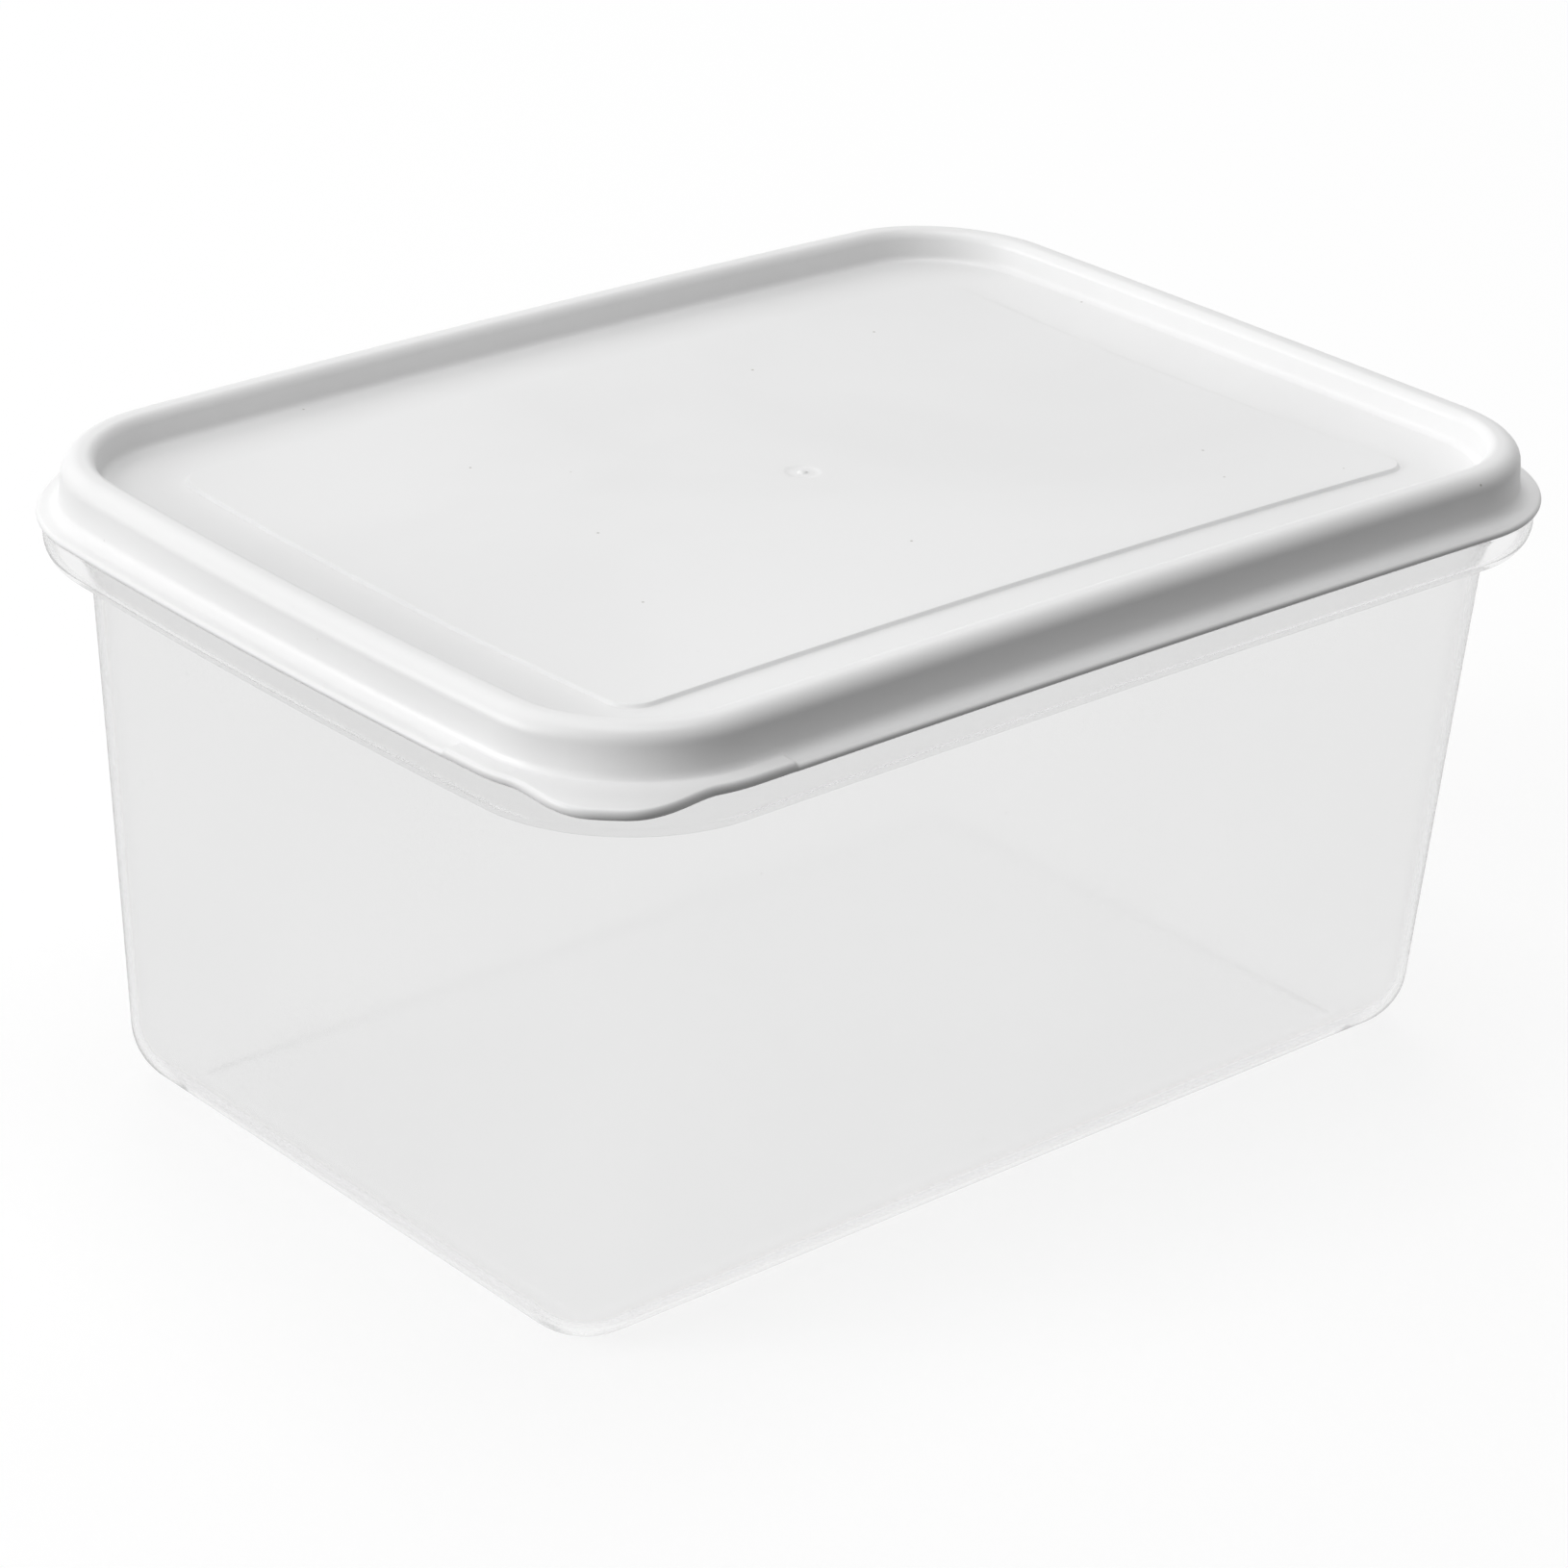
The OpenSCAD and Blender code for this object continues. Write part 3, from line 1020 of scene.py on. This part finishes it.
class Effect(Enum):
    """The surface effects that both plastics share, each a node group."""

    HAZE = "plastic_haze"
    SPECKS = "plastic_specks"
    SCUFFS = "plastic_scuffs"

    def group(self) -> bpy.types.ShaderNodeTree:
        """Finds the effect's node group, or builds it the first time that it is asked for.

        Returns:
            The node group.
        """
        made = bpy.data.node_groups.get(self.value)
        if made:
            return made
        made = bpy.data.node_groups.new(self.value, "ShaderNodeTree")
        for name, way, kind in (("Vector", "INPUT", "Vector"), ("Scale", "INPUT", "Float"),
                                ("Mask", "OUTPUT", "Float")):
            made.interface.new_socket(name=name, in_out=way, socket_type="NodeSocket" + kind)
        nodes = NodeTree(made)
        given, result = nodes.add("NodeGroupInput").outputs, nodes.add("NodeGroupOutput").inputs
        builder = {Effect.HAZE: self._haze, Effect.SPECKS: self._specks, Effect.SCUFFS: self._scuffs}[self]
        made.links.new(builder(nodes, given), result["Mask"])
        return made

    @staticmethod
    def _haze(nodes: NodeTree, given: bpy.types.NodeOutputs) -> Socket:
        """Draws slow clouds, as uneven cooling leaves them.

        Args:
            nodes: The group's nodes.
            given: What the group is given.

        Returns:
            The mask, from 0 to 1.
        """
        noise = nodes.add("ShaderNodeTexNoise", Vector=given["Vector"], Scale=given["Scale"], Detail=3.0,
                          Roughness=0.55, Distortion=0.4)
        return nodes.span(noise.outputs["Fac"], *HAZE_BAND, 0.0, 1.0)

    @staticmethod
    def _specks(nodes: NodeTree, given: bpy.types.NodeOutputs) -> Socket:
        """Draws a few tiny dots, as dust in the granules leaves them.

        Args:
            nodes: The group's nodes.
            given: What the group is given.

        Returns:
            The mask, from 0 to 1.
        """
        cells = nodes.add("ShaderNodeTexVoronoi", {"feature": "F1"}, Vector=given["Vector"],
                          Scale=given["Scale"])
        dot = nodes.span(cells.outputs["Distance"], *SPECK_BAND, 1.0, 0.0)
        rare = nodes.add("ShaderNodeSeparateColor", Color=cells.outputs["Color"]).outputs["Red"]
        return nodes.math("MULTIPLY", dot, nodes.math("GREATER_THAN", rare, SPECKLESS))

    @staticmethod
    def _scuffs(nodes: NodeTree, given: bpy.types.NodeOutputs) -> Socket:
        """Draws fine short hairlines, as handling leaves them.

        Args:
            nodes: The group's nodes.
            given: What the group is given.

        Returns:
            The mask, from 0 to 1.
        """
        bent = nodes.add("ShaderNodeTexNoise", Vector=given["Vector"], Scale=given["Scale"], Detail=2.0)
        shift = nodes.add("ShaderNodeVectorMath", {"operation": "SCALE"}, i0=bent.outputs["Color"],
                          Scale=SCUFF_BEND)
        moved = nodes.add("ShaderNodeVectorMath", {"operation": "ADD"}, i0=given["Vector"],
                          i1=shift.outputs[0])
        drawn = nodes.add("ShaderNodeMapping", Vector=moved.outputs[0], Scale=SCUFF_STRETCH,
                          Rotation=SCUFF_TURN)
        lines = nodes.add("ShaderNodeTexNoise", Vector=drawn.outputs[0], Scale=given["Scale"], Detail=4.0,
                          Roughness=0.7)
        return nodes.span(lines.outputs["Fac"], *SCUFF_BAND, 0.0, 1.0)


@dataclass(frozen=True)
class Plastic:
    """A polypropylene finish.

    Args:
        name: The material's name.
        colour: Its colour, linear.
        hazed: Its colour where it has cooled unevenly.
        speck: The colour of its specks.
        roughness: Roughness of the clean surface.
        scuffed: Roughness of the scuffed surface.
        transmission: How much light passes through it.
        ior: Its refractive index.
        grain: Height of the mould's grain, in millimetres.
        haze_scale: Clouds per metre.
        speck_scale: Cells per metre, a few of which hold a speck.
        scuff_scale: Bends of the hairlines per metre.
        grain_scale: Grains per metre.
    """

    name: str
    colour: Colour
    hazed: Colour
    speck: Colour
    roughness: float
    scuffed: float
    transmission: float = 0.0
    ior: float = 1.49
    grain: float = 0.006
    haze_scale: float = 9.0
    speck_scale: float = 130.0
    scuff_scale: float = 60.0
    grain_scale: float = 900.0

    def build(self) -> bpy.types.Material:
        """Makes the material.

        Returns:
            The material, with its haze, specks, scuffs and grain.
        """
        material = bpy.data.materials.new(self.name)
        material.use_nodes = True
        nodes = NodeTree(material.node_tree)
        shader = material.node_tree.nodes["Principled BSDF"]
        where = nodes.add("ShaderNodeTexCoord").outputs["Object"]
        haze = self.effect(nodes, Effect.HAZE, where, self.haze_scale)
        specks = self.effect(nodes, Effect.SPECKS, where, self.speck_scale)
        scuffs = self.effect(nodes, Effect.SCUFFS, where, self.scuff_scale)
        body = nodes.tint(haze, self.colour, self.hazed)
        link = material.node_tree.links.new
        link(nodes.tint(specks, body, self.speck), shader.inputs["Base Color"])
        link(nodes.span(scuffs, 0.0, 1.0, self.roughness, self.scuffed), shader.inputs["Roughness"])
        grain = nodes.add("ShaderNodeTexNoise", Vector=where, Scale=self.grain_scale, Detail=3.0,
                          Roughness=0.6)
        bump = nodes.add("ShaderNodeBump", Height=grain.outputs["Fac"], Distance=self.grain * MM,
                         Strength=1.0)
        link(bump.outputs["Normal"], shader.inputs["Normal"])
        shader.inputs["IOR"].default_value = self.ior
        shader.inputs["Transmission Weight"].default_value = self.transmission
        return material

    @staticmethod
    def effect(nodes: NodeTree, effect: Effect, where: Socket, scale: float) -> Socket:
        """Places a shared effect and returns its mask."""
        node = nodes.add("ShaderNodeGroup", {"node_tree": effect.group()}, Vector=where, Scale=scale)
        return node.outputs["Mask"]


@dataclass(frozen=True)
class SoftBox:
    """A soft light that looks at the tub.

    Args:
        name: The light's name.
        bearing: Where it stands, in degrees from +X towards +Y.
        height: How high it stands over the horizon, in degrees.
        watts: Its power.
        mirrored: Whether it shows in reflections.
        away: Its distance, in metres.
        side: Its width and height, in metres.
    """

    name: str
    bearing: float
    height: float
    watts: float
    mirrored: bool = True
    away: float = 3.0
    side: float = 1.7

    def build(self, target: Vector) -> None:
        """Stands the light up.

        Args:
            target: What it is turned to, in metres.
        """
        data = bpy.data.lights.new(self.name, "AREA")
        data.shape = "RECTANGLE"
        data.size = data.size_y = self.side
        data.energy = self.watts
        light = bpy.data.objects.new(self.name, data)
        way = pointing(self.bearing, self.height)
        light.location = target + way * self.away
        light.rotation_euler = (-way).to_track_quat("-Z", "Y").to_euler()
        light.visible_glossy = self.mirrored
        light.visible_transmission = False
        bpy.context.collection.objects.link(light)


@dataclass
class Studio:
    """The floor and the light.

    Args:
        floor_half: Half the floor's size, in metres.
        floor_glow: Part of the floor's brightness that the camera sees whatever falls on it.
        floor_paint: The floor's colour to the camera, which takes the shadow.
        floor_fade: Distances from the tub, in metres, between which the floor turns as white as the world.
        floor_through: Brightness of the floor through the plastic.
        floor_cast: The floor's colour in the light that it casts back.
        sky_seen: Brightness of the world to the camera and through the plastic.
        sky_gloss: Brightness of the world in reflections.
        sky_cast: Brightness of the world as a light.
        boxes: The soft lights.
        aim: Height at which they look, in millimetres.
    """

    floor_half: float = 6.0
    floor_glow: float = 0.84
    floor_paint: float = 0.16
    floor_fade: tuple[float, float] = (0.7, 2.6)
    floor_through: float = 1.0
    floor_cast: float = 0.06
    sky_seen: float = 1.0
    sky_gloss: float = 0.72
    sky_cast: float = 0.32
    boxes: tuple[SoftBox, ...] = (
        SoftBox("side_softbox", bearing=152.0, height=8.0, watts=50.0),
        SoftBox("high_side_softbox", bearing=170.0, height=34.0, watts=27.0, mirrored=False),
        SoftBox("back_softbox", bearing=60.0, height=33.0, watts=22.0, mirrored=False),
        SoftBox("top_softbox", bearing=0.0, height=90.0, watts=29.0),
    )
    aim: float = 70.0

    def build(self, centre: Point) -> None:
        """Makes the whole studio.

        Args:
            centre: The tub's middle in the frame, along X and Y, in millimetres.
        """
        target = Vector((*centre, self.aim)) * MM
        self.floor()
        self.world()
        for box in self.boxes:
            box.build(target)
        bpy.context.scene.view_settings.view_transform = "Standard"

    def floor(self) -> None:
        """Lays the floor, which is pale to the eye and dimmer in the light that it casts back."""
        mesh = bmesh.new()
        bmesh.ops.create_grid(mesh, x_segments=1, y_segments=1, size=self.floor_half)
        data = bpy.data.meshes.new("floor")
        mesh.to_mesh(data)
        mesh.free()
        floor = bpy.data.objects.new("floor", data)
        bpy.context.collection.objects.link(floor)
        material = bpy.data.materials.new("floor_paper")
        material.use_nodes = True
        nodes = NodeTree(material.node_tree)
        shader = material.node_tree.nodes["Principled BSDF"]
        path = nodes.add("ShaderNodeLightPath").outputs
        eye = nodes.math("MAXIMUM", path["Is Camera Ray"], path["Is Glossy Ray"])
        reach = nodes.add("ShaderNodeVectorMath", {"operation": "LENGTH"},
                          i0=nodes.add("ShaderNodeTexCoord").outputs["Object"]).outputs["Value"]
        far = nodes.span(reach, *self.floor_fade, 0.0, 1.0)
        seen_paint = nodes.tint(far, (self.floor_paint,) * 3, (0.0, 0.0, 0.0))
        seen_glow = nodes.tint(far, (self.floor_glow,) * 3, (self.sky_seen,) * 3)
        link = material.node_tree.links.new
        paint = nodes.tint(eye, (self.floor_cast,) * 3, seen_paint)
        link(nodes.tint(path["Is Transmission Ray"], paint, (0.0, 0.0, 0.0)), shader.inputs["Base Color"])
        glow = nodes.tint(eye, (0.0, 0.0, 0.0), seen_glow)
        through = nodes.tint(path["Is Transmission Ray"], glow, (self.floor_through,) * 3)
        link(through, shader.inputs["Emission Color"])
        shader.inputs["Emission Strength"].default_value = 1.0
        shader.inputs["Roughness"].default_value = 0.9
        shader.inputs["Specular IOR Level"].default_value = 0.0
        data.materials.append(material)

    def world(self) -> None:
        """Makes the world white to the eye and dimmer as a light."""
        world = bpy.data.worlds.new("studio_world")
        bpy.context.scene.world = world
        world.use_nodes = True
        nodes = NodeTree(world.node_tree)
        path = nodes.add("ShaderNodeLightPath").outputs
        glossy = nodes.blend(path["Is Glossy Ray"], self.sky_cast, self.sky_gloss)
        eye = nodes.math("MAXIMUM", path["Is Camera Ray"], path["Is Transmission Ray"])
        strength = nodes.blend(eye, glossy, self.sky_seen)
        shader = next(n for n in world.node_tree.nodes if n.type == "BACKGROUND")
        shader.inputs["Color"].default_value = (1.0, 1.0, 1.0, 1.0)
        world.node_tree.links.new(strength, shader.inputs["Strength"])


@dataclass
class Viewpoint:
    """The camera, where the photograph was taken from.

    Args:
        azimuth: Degrees round the tub from its front, towards its right end.
        elevation: Degrees over the horizon.
        roll: Degrees that the camera leans.
        away: Its distance from what it looks at, in millimetres.
        look_at: What it looks at, from the tub's middle, in millimetres.
        focal: Focal length over the picture's width.
        sensor: Width of the sensor, in millimetres.
        clip: The nearest and farthest distance that it sees, in metres.
    """

    azimuth: float = -42.13
    elevation: float = 24.81
    roll: float = 2.27
    away: float = 1037.73
    look_at: tuple[float, float, float] = (2.07, 4.18, 60.0)
    focal: float = 5101.81 / PHOTO_SIDE
    sensor: float = 36.0
    clip: tuple[float, float] = (0.05, 50.0)

    def build(self, centre: Point) -> None:
        """Makes the camera and sets it as the scene's own.

        Args:
            centre: The tub's middle in the frame, along X and Y, in millimetres.
        """
        azimuth, elevation, roll = map(math.radians, (self.azimuth, self.elevation, self.roll))
        back = Vector((math.sin(azimuth) * math.cos(elevation), -math.cos(azimuth) * math.cos(elevation),
                       math.sin(elevation)))
        right = Vector((math.cos(azimuth), math.sin(azimuth), 0.0))
        up = back.cross(right)
        leaned = (right * math.cos(roll) + up * math.sin(roll),
                  up * math.cos(roll) - right * math.sin(roll), back)
        place = Vector(self.look_at) + Vector((*centre, 0.0)) + back * self.away
        data = bpy.data.cameras.new("photo_camera")
        data.sensor_fit = "HORIZONTAL"
        data.sensor_width = self.sensor
        data.lens = self.focal * self.sensor
        data.clip_start, data.clip_end = self.clip
        camera = bpy.data.objects.new("photo_camera", data)
        turned = Matrix(leaned).transposed().to_4x4()
        camera.matrix_world = Matrix.Translation(place * MM) @ turned
        bpy.context.collection.objects.link(camera)
        bpy.context.scene.camera = camera


TUB_PLASTIC = Plastic("natural_polypropylene", colour=(0.908, 0.908, 0.908), hazed=(0.899, 0.899, 0.899),
                      speck=(0.75, 0.75, 0.74), roughness=0.24, scuffed=0.26, transmission=1.0, ior=1.08,
                      grain=0.0015)
LID_PLASTIC = Plastic("white_polypropylene", colour=(0.83, 0.83, 0.83), hazed=(0.80, 0.80, 0.80),
                      speck=(0.45, 0.44, 0.42), roughness=0.36, scuffed=0.46)


def main() -> None:
    """Builds the tub, the lid and the studio."""
    logging.basicConfig(level=logging.INFO, format="%(message)s")
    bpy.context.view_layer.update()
    low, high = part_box("tub")
    centre = ((low[0] + high[0]) / 2 / MM, (low[1] + high[1]) / 2 / MM)
    for moulding, plastic, node, slot in ((Tub(centre=centre), TUB_PLASTIC, "tub", "tub_plastic"),
                                          (Lid(centre=centre), LID_PLASTIC, "lid", "lid_plastic")):
        piece = moulding.build()
        piece.data.materials.append(plastic.build())
        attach(piece, node)
        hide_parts(node)
        LOG.info("%s: %d faces, %s", piece.name, len(piece.data.polygons), plastic.name)
    Studio().build(centre)
    Viewpoint().build(centre)


if __name__ == "__main__":
    main()
